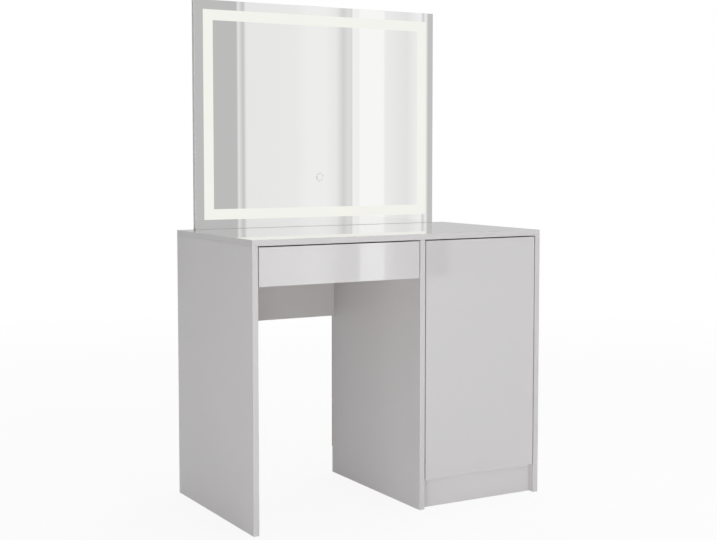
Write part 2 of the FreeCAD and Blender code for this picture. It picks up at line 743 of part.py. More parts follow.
def mirror_straps():
    half = strap_width / 2
    z_foot_screw = z_under_top - strap_rail_screw - strap_rail_screw_step
    z_low_end = z_foot_screw - strap_end
    z_high_end = table_height + strap_high_screw + strap_end
    straps = (
        ("left", -strap_spread, ("knee_back_rail",)),
        ("right", strap_spread, ("cupboard_back", "cupboard_stretcher")),
    )
    for side, x, carriers in straps:
        node = "mirror_strap_" + side
        strap = slab(x - half, y_rear, z_low_end, x + half, y_rear + strap_thickness, z_high_end, strap_round)
        add(node, strap)
        for z in (z_foot_screw, z_under_top - strap_rail_screw):
            seat = V(x, y_rear + strap_thickness, z)
            screw("strap_screws", seat, FRONT, strap_screw_length, (node,) + carriers)
        for lift in (strap_low_screw, strap_high_screw):
            seat = V(x, y_rear + strap_thickness, table_height + lift)
            screw("strap_screws", seat, FRONT, strap_screw_length, (node, "mirror_board"))


def export_nodes():
    os.makedirs("parts", exist_ok=True)
    for node, solids in nodes.items():
        finished = []
        for solid in solids:
            cut = solid.cut(bores[node]) if node in bores else solid
            finished.extend(cut.Solids)
        shape = finished[0] if len(finished) == 1 else Part.makeCompound(finished)
        shape.exportStep(os.path.join("parts", node + ".step"))


carcass_boards()
carcass_joints()
cupboard_back()
cupboard_shelf()
drawer_box()
runner("left", x_knee_left, RIGHT)
runner("right", x_knee_right, LEFT)
door()
push_latch()
mirror()
mirror_straps()
export_nodes()
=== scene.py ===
import math

import bmesh
import bpy
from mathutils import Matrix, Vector


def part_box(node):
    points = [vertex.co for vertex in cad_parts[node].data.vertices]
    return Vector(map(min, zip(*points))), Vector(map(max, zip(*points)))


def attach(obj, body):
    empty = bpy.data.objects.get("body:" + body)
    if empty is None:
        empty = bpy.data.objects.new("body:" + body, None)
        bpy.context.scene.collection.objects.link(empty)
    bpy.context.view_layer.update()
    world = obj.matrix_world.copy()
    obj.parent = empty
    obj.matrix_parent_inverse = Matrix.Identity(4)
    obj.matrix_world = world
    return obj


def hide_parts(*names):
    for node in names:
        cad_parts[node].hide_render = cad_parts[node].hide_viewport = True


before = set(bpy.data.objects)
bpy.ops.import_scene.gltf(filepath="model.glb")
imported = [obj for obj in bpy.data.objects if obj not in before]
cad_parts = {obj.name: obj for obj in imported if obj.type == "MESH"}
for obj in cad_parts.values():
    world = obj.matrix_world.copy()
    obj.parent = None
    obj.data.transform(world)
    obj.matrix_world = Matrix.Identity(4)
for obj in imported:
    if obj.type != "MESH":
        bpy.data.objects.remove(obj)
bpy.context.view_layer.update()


def plug(socket, value):
    if isinstance(value, Wire):
        socket.id_data.links.new(value.socket, socket)
    elif socket.type == "RGBA":
        socket.default_value = (*value, 1.0)
    else:
        socket.default_value = value


class Wire:  # a node's output, used in sums like a number
    def __init__(self, socket):
        self.socket = socket

    def other(self, name):  # another output of the same node
        return Wire(self.socket.node.outputs[name])

    def combine(self, operation, first, second):
        made = self.socket.id_data.nodes.new("ShaderNodeMath")
        made.operation = operation
        plug(made.inputs[0], first)
        plug(made.inputs[1], second)
        return Wire(made.outputs[0])

    def __add__(self, value):
        return self.combine("ADD", self, value)

    def __radd__(self, value):
        return self.combine("ADD", value, self)

    def __sub__(self, value):
        return self.combine("SUBTRACT", self, value)

    def __rsub__(self, value):
        return self.combine("SUBTRACT", value, self)

    def __mul__(self, value):
        return self.combine("MULTIPLY", self, value)

    def __rmul__(self, value):
        return self.combine("MULTIPLY", value, self)


class Nodes:  # a node tree that is filled one node at a time
    mixSockets = {"factor": 0, "first": 6, "second": 7, "result": 2}  # those of a Mix node set to colours

    def __init__(self, tree):
        self.tree = tree
        self.tree.nodes.clear()

    def node(self, kind, settings=None, sockets=None, out=0):
        made = self.tree.nodes.new("ShaderNode" + kind)
        for key, value in (settings or {}).items():
            if key == "stops":
                self.setStops(made.color_ramp, value)
            else:
                setattr(made, key, value)
        for key, value in (sockets or {}).items():
            plug(made.inputs[key], value)
        return Wire(made.outputs[out]) if len(made.outputs) else made

    def setStops(self, ramp, stops):
        while len(ramp.elements) < len(stops):
            ramp.elements.new(1.0)
        for element, (place, colour) in zip(ramp.elements, stops):
            element.position = place
            element.color = (*colour, 1.0)

    def spread(self, value, low, high, toLow=0.0, toHigh=1.0):  # a range stretched to another, ends held
        return self.node("MapRange", {"clamp": True}, {
            "Value": value, "From Min": low, "From Max": high, "To Min": toLow, "To Max": toHigh})

    def blend(self, factor, first, second):  # colours mixed
        pins = self.mixSockets
        return self.node("Mix", {"data_type": "RGBA"}, {
            pins["factor"]: factor, pins["first"]: first, pins["second"]: second}, out=pins["result"])


def tinted(colour, share):  # the same colour, darker or lighter
    return [part * share for part in colour]


class Finish(Nodes):  # a material on object coordinates, its pattern sizes in metres
    wavePitch = 0.314  # from band to band of a Wave Texture at a scale of 1
    flatEdge, roundEdge = 0.98, 0.6  # fourth powers of a normal's parts, added up, are 1 on a flat face

    def __init__(self, name):
        self.material = bpy.data.materials.new(name)
        self.material.use_nodes = True
        super().__init__(self.material.node_tree)

    def place(self, stretch=(1, 1, 1)):
        spot = self.node("TexCoord", out="Object")
        return self.node("Mapping", {}, {"Vector": spot, "Scale": stretch})

    def noise(self, size, detail=3.0, roughness=0.5, stretch=(1, 1, 1)):
        return self.node("TexNoise", {}, {
            "Vector": self.place(stretch), "Scale": 1 / size, "Detail": detail, "Roughness": roughness})

    def cells(self, size, stretch=(1, 1, 1)):
        return self.node("TexVoronoi", {}, {"Vector": self.place(stretch), "Scale": 1 / size})

    def waves(self, axis, size, distortion=0.0):
        return self.node("TexWave", {"bands_direction": axis}, {
            "Vector": self.place(), "Scale": self.wavePitch / size, "Distortion": distortion}, out=1)

    def edges(self):  # 1 on the rounded edges of a board, 0 on its flat faces
        normal = self.node("TexCoord", out="Normal")
        squares = self.node("VectorMath", {"operation": "MULTIPLY"}, {0: normal, 1: normal})
        flatness = self.node(
            "VectorMath", {"operation": "DOT_PRODUCT"}, {0: squares, 1: squares}, out="Value")
        return self.spread(flatness, self.flatEdge, self.roundEdge)

    def facing(self, axis):  # how far the surface faces along an axis of the piece
        normal = self.node("TexCoord", out="Normal")
        return self.node("SeparateXYZ", {}, {0: normal}).other(axis)

    def tints(self, factor, colour, low, high):  # between a darker and a lighter share of a colour
        return self.blend(factor, tinted(colour, low), tinted(colour, high))

    def bump(self, height, distance):
        return self.node("Bump", {}, {"Strength": 1.0, "Distance": distance, "Height": height})

    def close(self, sockets):
        surface = self.node("BsdfPrincipled", {}, sockets)
        self.node("OutputMaterial", {}, {"Surface": surface})
        return self.material


bandLook = {"colour": (0.552, 0.540, 0.546), "tints": (0.97, 1.03)}  # edge bands of all boards


def satinLaminate(axis):
    look = {
        "colour": (0.590, 0.577, 0.583), "tints": (0.955, 1.035),
        "pearl": {"size": 0.0011, "detail": 2.0}, "pearlShare": 0.55, "pearlHeight": 0.00003,
        "mottle": {"size": 0.30, "detail": 2.0}, "mottleShare": 0.45,
        "handling": {"size": 0.07, "detail": 4.0, "roughness": 0.6},
        "wideFace": (0.6, 0.9), "edgeWearAndHighlight": 1.09, "edgeShare": 0.5,
        "roughness": 0.39, "pearlRough": 0.06, "handlingRough": 0.09, "edgeSmooth": 0.08}
    finish = Finish("satin laminate " + axis.lower())
    board = finish.facing(axis)  # 1 or -1 on the two wide faces, 0 on the banded edges
    board = finish.spread(board * board, *look["wideFace"])
    pearl = finish.noise(**look["pearl"])
    mottle = finish.noise(**look["mottle"])
    handling = finish.noise(**look["handling"])
    edge = finish.edges()
    grain = pearl * look["pearlShare"] + mottle * look["mottleShare"]
    printed = finish.tints(grain, look["colour"], *look["tints"])
    banded = finish.tints(pearl, bandLook["colour"], *bandLook["tints"])
    # rounded edges lightened: partly wear, partly a painted highlight along the edges
    wornAndHighlit = tinted(look["colour"], look["edgeWearAndHighlight"])
    rough = look["roughness"] + pearl * look["pearlRough"] + handling * look["handlingRough"]
    return finish.close({
        "Base Color": finish.blend(edge * look["edgeShare"], finish.blend(board, banded, printed), wornAndHighlit),
        "Roughness": rough - edge * look["edgeSmooth"],
        "Normal": finish.bump(pearl, look["pearlHeight"])})


def glossLacquer(axis, side):
    look = {
        "colour": (0.528, 0.517, 0.522), "tints": (0.975, 1.025),
        "flake": {"size": 0.0007, "detail": 1.0},
        "peel": {"size": 0.0035, "detail": 1.0}, "peelHeight": 0.000004,
        "wipe": {"size": 0.09, "detail": 4.0, "roughness": 0.55, "stretch": (1.0, 1.0, 0.35)},
        "seenFace": (0.84, 0.97), "edgeWearAndHighlight": 1.10, "edgeShare": 0.5,
        "roughness": 0.44, "polish": 0.42, "wipeRough": 0.05,
        "wipeCoat": 0.16, "edgeCoat": 0.1, "coatRoughness": 0.015, "coatIor": 1.8}
    finish = Finish("gloss lacquer " + axis.lower())
    seen = finish.spread(finish.facing(axis) * side, *look["seenFace"])  # the rest is plain satin
    peel = finish.noise(**look["peel"])
    wipe = finish.noise(**look["wipe"])
    flake = finish.noise(**look["flake"])
    edge = finish.edges()
    pigment = finish.tints(flake, look["colour"], *look["tints"])
    banded = finish.tints(flake, bandLook["colour"], *bandLook["tints"])
    # rounded edges lightened: partly wear, partly a painted highlight along the edges
    wornAndHighlit = tinted(look["colour"], look["edgeWearAndHighlight"])
    return finish.close({
        "Base Color": finish.blend(edge * look["edgeShare"], finish.blend(seen, banded, pigment), wornAndHighlit),
        "Roughness": look["roughness"] - seen * look["polish"] + wipe * look["wipeRough"],
        "Coat Weight": seen * (1.0 - wipe * look["wipeCoat"] - edge * look["edgeCoat"]),
        "Coat Roughness": look["coatRoughness"], "Coat IOR": look["coatIor"],
        "Normal": finish.bump(peel, look["peelHeight"])})


def drawerFoil():
    look = {
        "colour": (0.66, 0.65, 0.645), "tints": (0.94, 1.0),
        "thread": {"size": 0.0009, "distortion": 1.5}, "weaveShare": 0.6, "weaveHeight": 0.00002,
        "mottle": {"size": 0.05}, "mottleShare": 0.4,
        "edgeColour": (0.74, 0.73, 0.72), "edgeShare": 0.4, "roughness": 0.48, "mottleRough": 0.14}
    finish = Finish("drawer foil")
    weave = finish.waves("Y", **look["thread"]) * 0.5 + finish.waves("Z", **look["thread"]) * 0.5
    mottle = finish.noise(**look["mottle"])
    edge = finish.edges()
    printed = weave * look["weaveShare"] + mottle * look["mottleShare"]
    foil = finish.tints(printed, look["colour"], *look["tints"])
    return finish.close({
        "Base Color": finish.blend(edge * look["edgeShare"], foil, look["edgeColour"]),
        "Roughness": look["roughness"] + mottle * look["mottleRough"],
        "Normal": finish.bump(weave, look["weaveHeight"])})


def fibreSheet():
    look = {
        "paint": (0.60, 0.586, 0.59), "paintTints": (0.96, 1.0), "rawSide": (-0.5, -0.45),
        "dark": (0.190, 0.122, 0.075), "light": (0.390, 0.280, 0.185), "contrast": (0.3, 0.7),
        "strands": {"size": 0.0022, "detail": 5.0, "roughness": 0.65, "stretch": (1.0, 1.0, 0.45)},
        "strandShare": 0.75, "strandHeight": 0.00006, "paintedRelief": 0.25, "rawRelief": 0.75,
        "cloud": {"size": 0.12}, "cloudShare": 0.25,
        "flecks": {"size": 0.0035, "stretch": (1.0, 1.0, 0.4)}, "fleckReach": (0.12, 0.0),
        "fleckColour": (0.50, 0.39, 0.27), "fleckShare": 0.35,
        "roughness": 0.45, "rawRough": 0.3, "strandRough": 0.08}
    finish = Finish("fibre sheet")
    strands = finish.noise(**look["strands"])
    flecks = finish.spread(finish.cells(**look["flecks"]), *look["fleckReach"])
    cloud = finish.noise(**look["cloud"])
    fibre = finish.spread(strands * look["strandShare"] + cloud * look["cloudShare"], *look["contrast"])
    fibre = finish.blend(fibre, look["dark"], look["light"])
    fibre = finish.blend(flecks * look["fleckShare"], fibre, look["fleckColour"])
    painted = finish.tints(cloud, look["paint"], *look["paintTints"])
    raw = finish.facing("Y") - finish.facing("Z")
    raw = finish.spread(raw, *look["rawSide"])  # only the inner side is painted
    relief = strands * (look["paintedRelief"] + raw * look["rawRelief"])
    return finish.close({
        "Base Color": finish.blend(raw, painted, fibre),
        "Roughness": look["roughness"] + raw * look["rawRough"] + strands * look["strandRough"],
        "Normal": finish.bump(relief, look["strandHeight"])})


def beechDowel():
    look = {
        "dark": (0.48, 0.31, 0.18), "light": (0.66, 0.47, 0.30), "contrast": (0.3, 0.7),
        "grain": {"size": 0.004, "detail": 4.0, "roughness": 0.6, "stretch": (0.2, 1.0, 0.2)},
        "grainHeight": 0.0001, "roughness": 0.6, "grainRough": 0.1,
        "rays": {"size": 0.0012, "stretch": (0.5, 1.0, 0.5)}, "rayReach": (0.2, 0.0),
        "rayColour": (0.36, 0.22, 0.12), "rayShare": 0.5}
    finish = Finish("beech dowel")
    grain = finish.noise(**look["grain"])
    rays = finish.spread(finish.cells(**look["rays"]), *look["rayReach"])
    wood = finish.blend(finish.spread(grain, *look["contrast"]), look["dark"], look["light"])
    return finish.close({
        "Base Color": finish.blend(rays * look["rayShare"], wood, look["rayColour"]),
        "Roughness": look["roughness"] + grain * look["grainRough"],
        "Normal": finish.bump(grain, look["grainHeight"])})


def castZinc():
    look = {
        "dark": (0.42, 0.43, 0.45), "light": (0.58, 0.59, 0.60), "contrast": (0.3, 0.7),
        "cast": {"size": 0.0006, "detail": 4.0, "roughness": 0.6}, "castHeight": 0.00005,
        "tarnish": {"size": 0.006}, "roughness": 0.38, "castRough": 0.2}
    finish = Finish("cast zinc")
    cast = finish.noise(**look["cast"])
    tarnish = finish.spread(finish.noise(**look["tarnish"]), *look["contrast"])
    return finish.close({
        "Base Color": finish.blend(tarnish, look["dark"], look["light"]), "Metallic": 1.0,
        "Roughness": look["roughness"] + cast * look["castRough"],
        "Normal": finish.bump(cast, look["castHeight"])})


def zincSteel():
    look = {
        "blue": (0.44, 0.47, 0.52), "yellow": (0.56, 0.55, 0.51), "contrast": (0.35, 0.65),
        "film": {"size": 0.008}, "spangle": {"size": 0.0025},
        "spangleColour": (0.36, 0.39, 0.44), "spangleShare": 0.3,
        "rub": {"size": 0.0015, "roughness": 0.6, "stretch": (1.0, 1.0, 0.1)}, "rubHeight": 0.00001,
        "roughness": 0.28, "rubRough": 0.18}
    finish = Finish("zinc plated steel")
    spangle = finish.cells(**look["spangle"])
    film = finish.spread(finish.noise(**look["film"]), *look["contrast"])
    rub = finish.noise(**look["rub"])
    metal = finish.blend(film, look["blue"], look["yellow"])
    return finish.close({
        "Base Color": finish.blend(spangle * look["spangleShare"], metal, look["spangleColour"]),
        "Metallic": 1.0, "Roughness": look["roughness"] + rub * look["rubRough"],
        "Normal": finish.bump(rub, look["rubHeight"])})


def nickelSteel():
    look = {
        "dark": (0.60, 0.585, 0.55), "light": (0.72, 0.70, 0.66), "contrast": (0.35, 0.65),
        "rub": {"size": 0.0012, "detail": 4.0, "roughness": 0.6, "stretch": (1.0, 0.08, 1.0)},
        "haze": {"size": 0.012}, "rubHeight": 0.000008,
        "roughness": 0.15, "rubRough": 0.14, "hazeRough": 0.06}
    finish = Finish("nickel plated steel")
    rub = finish.noise(**look["rub"])
    haze = finish.noise(**look["haze"])
    metal = finish.blend(finish.spread(haze, *look["contrast"]), look["dark"], look["light"])
    return finish.close({
        "Base Color": metal, "Metallic": 1.0,
        "Roughness": look["roughness"] + rub * look["rubRough"] + haze * look["hazeRough"],
        "Normal": finish.bump(rub, look["rubHeight"])})


def runnerEnamel():
    look = {
        "fresh": (0.70, 0.70, 0.69), "dull": (0.60, 0.60, 0.60), "contrast": (0.35, 0.75),
        "peel": {"size": 0.0016, "detail": 2.0}, "peelHeight": 0.00003,
        "rub": {"size": 0.015, "roughness": 0.6, "stretch": (1.0, 0.15, 1.0)},
        "roughness": 0.30, "peelRough": 0.12, "coat": 0.25, "rubCoat": 0.1}
    finish = Finish("runner enamel")
    peel = finish.noise(**look["peel"])
    rub = finish.noise(**look["rub"])
    enamel = finish.blend(finish.spread(rub, *look["contrast"]), look["fresh"], look["dull"])
    return finish.close({
        "Base Color": enamel, "Roughness": look["roughness"] + peel * look["peelRough"],
        "Coat Weight": look["coat"] + rub * look["rubCoat"],
        "Normal": finish.bump(peel, look["peelHeight"])})


def rollerNylon():
    look = {
        "dark": (0.70, 0.685, 0.64), "light": (0.80, 0.79, 0.755), "contrast": (0.3, 0.7),
        "milk": {"size": 0.005}, "skin": {"size": 0.0005, "detail": 2.0}, "skinHeight": 0.00001,
        "roughness": 0.34, "skinRough": 0.14}
    finish = Finish("roller nylon")
    milk = finish.spread(finish.noise(**look["milk"]), *look["contrast"])
    skin = finish.noise(**look["skin"])
    return finish.close({
        "Base Color": finish.blend(milk, look["dark"], look["light"]),
        "Roughness": look["roughness"] + skin * look["skinRough"],
        "Normal": finish.bump(skin, look["skinHeight"])})


def lightTape():
    look = {
        "dark": (0.72, 0.72, 0.70), "light": (0.80, 0.80, 0.78), "copper": (0.72, 0.45, 0.22),
        "padPitch": 0.0333, "padReach": (0.96, 0.98), "rowPitch": 0.004, "rowReach": (0.4, 0.6),
        "mask": {"size": 0.0009, "detail": 2.0}, "roughness": 0.36, "maskRough": 0.1}
    finish = Finish("light tape")
    pads = finish.spread(finish.waves("X", look["padPitch"]), *look["padReach"])
    pads = pads * finish.spread(finish.waves("Z", look["rowPitch"]), *look["rowReach"])
    mask = finish.noise(**look["mask"])
    resist = finish.blend(mask, look["dark"], look["light"])
    return finish.close({
        "Base Color": finish.blend(pads, resist, look["copper"]), "Metallic": pads,
        "Roughness": look["roughness"] + mask * look["maskRough"]})


def lightChip():
    look = {
        "gel": (0.80, 0.70, 0.35), "roughness": 0.35, "phosphor": {"size": 0.0006, "detail": 2.0},
        "glowDark": (1.0, 0.86, 0.56), "glowLight": (1.0, 0.94, 0.74), "strength": 1.5}
    finish = Finish("light chip")
    phosphor = finish.noise(**look["phosphor"])
    return finish.close({
        "Base Color": look["gel"], "Roughness": look["roughness"],
        "Emission Color": finish.blend(phosphor, look["glowDark"], look["glowLight"]),
        "Emission Strength": look["strength"]})


def mouldedPlastic(name, dark, light, roughness):
    look = {
        "spark": {"size": 0.0005, "roughness": 0.6}, "sparkShare": 0.4,  # eroded mould grain
        "flow": {"size": 0.02}, "flowShare": 0.6, "contrast": (0.3, 0.7),
        "sparkRough": 0.14, "sparkHeight": 0.00003}
    finish = Finish(name)
    spark = finish.noise(**look["spark"])
    flow = finish.noise(**look["flow"])
    cloud = finish.spread(flow * look["flowShare"] + spark * look["sparkShare"], *look["contrast"])
    return finish.close({
        "Base Color": finish.blend(cloud, dark, light), "Roughness": roughness + spark * look["sparkRough"],
        "Normal": finish.bump(spark, look["sparkHeight"])})


def mirrorSilver():
    look = {
        "dark": (0.876, 0.873, 0.870), "light": (0.886, 0.881, 0.877),
        "breath": {"size": 0.16, "detail": 4.0, "roughness": 0.6}, "breathReach": (0.45, 0.75),
        "roughness": (0.0, 0.004)}
    finish = Finish("mirror silver")
    breath = finish.noise(**look["breath"])
    return finish.close({
        "Base Color": finish.blend(breath, look["dark"], look["light"]), "Metallic": 1.0,
        "Roughness": finish.spread(breath, *look["breathReach"], *look["roughness"])})


def frostedBand():
    look = {
        "glass": (0.02, 0.02, 0.02), "specular": 0.0, "strength": 1.0,
        "glowDark": (0.860, 0.860, 0.807), "glowLight": (0.899, 0.899, 0.848),
        "drift": {"size": 0.09, "detail": 2.0}, "driftShare": 0.7,
        "etch": {"size": 0.0007, "roughness": 0.6}, "etchShare": 0.3, "etchHeight": 0.00002,
        "roughness": 0.55, "etchRough": 0.15}
    finish = Finish("frosted light band")
    etch = finish.noise(**look["etch"])
    drift = finish.noise(**look["drift"])
    cloud = drift * look["driftShare"] + etch * look["etchShare"]
    return finish.close({
        "Base Color": look["glass"], "Roughness": look["roughness"] + etch * look["etchRough"],
        "Emission Color": finish.blend(cloud, look["glowDark"], look["glowLight"]),
        "Emission Strength": look["strength"], "Specular IOR Level": look["specular"],
        "Normal": finish.bump(etch, look["etchHeight"])})


def frostedMark():
    look = {
        "dark": (0.70, 0.70, 0.70), "light": (0.75, 0.75, 0.75),
        "etch": {"size": 0.0005, "roughness": 0.6}, "etchHeight": 0.00002,
        "roughness": 0.5, "etchRough": 0.2}
    finish = Finish("frosted mark")
    etch = finish.noise(**look["etch"])
    return finish.close({
        "Base Color": finish.blend(etch, look["dark"], look["light"]),
        "Roughness": look["roughness"] + etch * look["etchRough"],
        "Normal": finish.bump(etch, look["etchHeight"])})


def paneEdge():
    look = {
        "dark": (0.585, 0.645, 0.62), "light": (0.625, 0.68, 0.655), "depth": {"size": 0.03, "detail": 2.0},
        "ground": {"size": 0.0008, "roughness": 0.6, "stretch": (1.0, 0.2, 1.0)},
        "roughness": 0.22, "groundRough": 0.16, "groundHeight": 0.00003, "coat": 0.6}
    finish = Finish("ground glass edge")
    ground = finish.noise(**look["ground"])
    depth = finish.noise(**look["depth"])
    return finish.close({
        "Base Color": finish.blend(depth, look["dark"], look["light"]), "Coat Weight": look["coat"],
        "Roughness": look["roughness"] + ground * look["groundRough"],
        "Normal": finish.bump(ground, look["groundHeight"])})


def backPaint():
    look = {
        "dark": (0.20, 0.22, 0.23), "light": (0.26, 0.28, 0.29),
        "roll": {"size": 0.004}, "rollHeight": 0.00003, "roughness": 0.5, "rollRough": 0.12}
    finish = Finish("mirror back paint")
    roll = finish.noise(**look["roll"])
    return finish.close({
        "Base Color": finish.blend(roll, look["dark"], look["light"]),
        "Roughness": look["roughness"] + roll * look["rollRough"],
        "Normal": finish.bump(roll, look["rollHeight"])})


greyPlastic = mouldedPlastic("grey plastic", (0.40, 0.40, 0.40), (0.47, 0.47, 0.465), 0.36)
darkPlastic = mouldedPlastic("dark plastic", (0.014, 0.014, 0.015), (0.024, 0.024, 0.025), 0.34)

nodeFinishes = (
    (satinLaminate("X"), ("left_side_panel", "divider_panel", "right_side_panel")),
    (satinLaminate("Y"), ("knee_back_rail", "plinth_board", "cupboard_stretcher", "mirror_board")),
    (satinLaminate("Z"), ("cupboard_floor", "cupboard_shelf")),
    (glossLacquer("Z", 1.0), ("top_panel",)),
    (glossLacquer("Y", -1.0), ("drawer_front", "door_panel")),
    (drawerFoil(), ("drawer_wall_left", "drawer_wall_right", "drawer_back")),
    (fibreSheet(), ("cupboard_back", "drawer_bottom")),
    (beechDowel(), ("carcass_dowels", "drawer_dowels", "mirror_dowels")),
    (castZinc(), ("carcass_cam_discs", "drawer_cam_discs")),
    (zincSteel(), (
        "carcass_cam_bolts", "drawer_cam_bolts", "back_nails", "channel_screws", "front_roller_rivets",
        "rear_roller_rivets", "strap_screws", "latch_screws", "hinge_arm_screws", "hinge_cup_screws",
        "drawer_back_screws", "drawer_runner_screws", "mirror_strap_left", "mirror_strap_right",
        "shelf_pins", "strike_disc", "hinge_pins")),
    (nickelSteel(), ("hinge_arm_lower", "hinge_arm_upper", "hinge_cup_lower", "hinge_cup_upper")),
    (runnerEnamel(), (
        "runner_channel_left", "runner_channel_right", "drawer_runner_left", "drawer_runner_right")),
    (rollerNylon(), ("front_roller_left", "front_roller_right", "rear_roller_left", "rear_roller_right")),
    (lightTape(), ("led_strip",)),
    (lightChip(), ("led_chips",)),
    (greyPlastic, ("latch_body", "latch_plunger", "touch_sensor")),
    (darkPlastic, ("power_inlet", "sensor_lead")),
)


def dress(finishes):
    for material, names in finishes:
        for name in names:
            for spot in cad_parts[name].material_slots:
                spot.material = material


dress(nodeFinishes)
print("finishes on the boards, fittings and mirror light")


def linkMesh(mesh, name, materials):
    data = bpy.data.meshes.new(name)
    mesh.to_mesh(data)
    mesh.free()
    for material in materials:
        data.materials.append(material)
    piece = bpy.data.objects.new(name, data)
    bpy.context.scene.collection.objects.link(piece)
    return piece


def finishPiece(mesh, name, materials, body):
    piece = linkMesh(mesh, name, materials)
    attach(piece, body)
    return piece


paneSettings = {
    "edgeRound": 0.0006,
    "edgeSteps": 3,
    "rimFacing": 0.9,  # faces that look further to the front or back than this aren't the rim
    "bandInset": 0.027,  # mirror edge to the lit band
    "bandWidth": 0.030,
    "etchDepth": 0.0002,
    "etchSlope": 0.0003,
}


def mirrorPane(settings):
    band, rim, back = 1, 2, 3  # the pane's finishes after the silver
    low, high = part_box("mirror_glass")
    mesh = bmesh.new()
    bmesh.ops.create_cube(mesh, size=1.0)
    bmesh.ops.scale(mesh, vec=high - low, verts=mesh.verts)
    bmesh.ops.translate(mesh, vec=(low + high) / 2, verts=mesh.verts)
    bmesh.ops.bevel(
        mesh, geom=mesh.edges[:], offset=settings["edgeRound"], offset_type="OFFSET",
        affect="EDGES", segments=settings["edgeSteps"], profile=0.5, material=-1)
    mesh.normal_update()
    for face in mesh.faces:
        if face.normal.y > settings["rimFacing"]:
            face.material_index = back
        elif face.normal.y > -settings["rimFacing"]:
            face.material_index = rim
    front = min(mesh.faces, key=lambda face: face.normal.y * face.calc_area())

    def step(inward, depth=0.0):
        return bmesh.ops.inset_region(
            mesh, faces=[front], thickness=inward, depth=depth,
            use_even_offset=True, use_boundary=True)["faces"]

    slope = settings["etchSlope"]
    step(settings["bandInset"] - settings["edgeRound"])  # silvered margin
    lit = step(slope, -settings["etchDepth"])
    lit += step(settings["bandWidth"] - 2 * slope)
    lit += step(slope, settings["etchDepth"])
    for face in lit:
        face.material_index = band
    return mesh


pane = finishPiece(
    mirrorPane(paneSettings), "mirror_pane",
    (mirrorSilver(), frostedBand(), paneEdge(), backPaint()), "carcass")
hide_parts("mirror_glass")
print("mirror pane with its frosted band")

markSettings = {
    "level": 0.901,  # middle of the mark above the floor
    "outer": 0.0130,
    "inner": 0.0090,
    "proud": 0.0001,
    "steps": 48,
}


def touchMark(settings):
    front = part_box("mirror_glass")[0].y
    mesh = bmesh.new()
    corners = [
        mesh.verts.new((radius, y, settings["level"]))
        for radius, y in (
            (settings["inner"], front), (settings["outer"], front),
            (settings["outer"], front - settings["proud"]), (settings["inner"], front - settings["proud"]))
    ]
    sides = [mesh.edges.new((corners[i - 1], corners[i])) for i in range(len(corners))]
    bmesh.ops.spin(
        mesh, geom=corners + sides, cent=(0, 0, settings["level"]), axis=(0, 1, 0),
        angle=math.tau, steps=settings["steps"], use_merge=True)
    bmesh.ops.recalc_face_normals(mesh, faces=mesh.faces)
    return mesh


finishPiece(touchMark(markSettings), "touch_mark", (frostedMark(),), "carcass")
print("touch mark on the pane")

floorSettings = {
    "radius": 7.0,
    "sides": 96,
    "colour": (0.86, 0.86, 0.86),
    "nearWhite": 0.90,  # share of plain white below the table, the rest takes its shadow
    "fadeFrom": 0.7,
    "fadeTo": 4.5,  # plain white from here on
}


def seenDirectly(tree):  # 1 where the eye sees the stage, also by way of a mirror or glass
    path = tree.node("LightPath", out="Is Camera Ray")
    return tree.spread(path + path.other("Is Glossy Ray") + path.other("Is Transmission Ray"), 0.0, 1.0)


def floorFinish(settings):
    finish = Finish("pale floor")
    spot = finish.node("TexCoord", out="Object")
    distance = finish.node("VectorMath", {"operation": "LENGTH"}, {0: spot}, out="Value")
    white = finish.spread(distance, settings["fadeFrom"], settings["fadeTo"], settings["nearWhite"], 1.0)
    matt = finish.node("BsdfDiffuse", {}, {"Color": settings["colour"]})
    plain = finish.node("Emission", {}, {"Color": (1.0, 1.0, 1.0), "Strength": 1.0})
    surface = finish.node("MixShader", {}, {0: seenDirectly(finish) * white, 1: matt, 2: plain})
    finish.node("OutputMaterial", {}, {"Surface": surface})
    return finish.material


disc = bmesh.new()
bmesh.ops.create_circle(
    disc, cap_ends=True, segments=floorSettings["sides"], radius=floorSettings["radius"])
floor = linkMesh(disc, "floor", (floorFinish(floorSettings),))

# A low light strip in front, only for the gloss of the drawer: place along x, brightness
stripSettings = {
    "y": -4.0,
    "bottom": 0.16,
    "top": 0.495,
    "tones": (
        (1.18, 1.25), (1.32, 1.30), (1.43, 1.40), (1.60, 1.50), (1.67, 1.75), (1.75, 1.62),
        (1.83, 1.45), (1.87, 1.15), (1.93, 1.05), (2.003, 1.15), (2.018, 2.35), (2.173, 2.35),
        (2.193, 1.45), (2.28, 1.05), (2.40, 0.95), (2.458, 0.95)),
    "unseenBy": ("camera", "diffuse", "transmission", "shadow", "volume_scatter"),
}


def greyStops(tones, full=1.0):  # places and brightness as the stops of a ramp
    start, end = tones[0][0], tones[-1][0]
    return [((place - start) / (end - start), [tone / full] * 3) for place, tone in tones]


def stripFinish(settings):
    finish = Finish("light strip tones")
    tones = settings["tones"]
    brightest = max(tone for place, tone in tones)
    spot = finish.node("SeparateXYZ", {}, {0: finish.node("TexCoord", out="Object")})
    across = finish.spread(spot, tones[0][0], tones[-1][0])
    shade = finish.node("ValToRGB", {"stops": greyStops(tones, brightest)}, {0: across})
    glow = finish.node("Emission", {}, {"Color": shade, "Strength": brightest})
    finish.node("OutputMaterial", {}, {"Surface": glow})
    return finish.material


def lightStrip(settings):
    mesh = bmesh.new()
    left, right = settings["tones"][0][0], settings["tones"][-1][0]
    corners = [
        mesh.verts.new((x, settings["y"], z))
        for x, z in (
            (left, settings["bottom"]), (left, settings["top"]),
            (right, settings["top"]), (right, settings["bottom"]))
    ]
    bmesh.ops.contextual_create(mesh, geom=corners)
    return mesh


strip = linkMesh(lightStrip(stripSettings), "light_strip", (stripFinish(stripSettings),))
for ray in stripSettings["unseenBy"]:
    setattr(strip, "visible_" + ray, False)
print("floor and light strip")

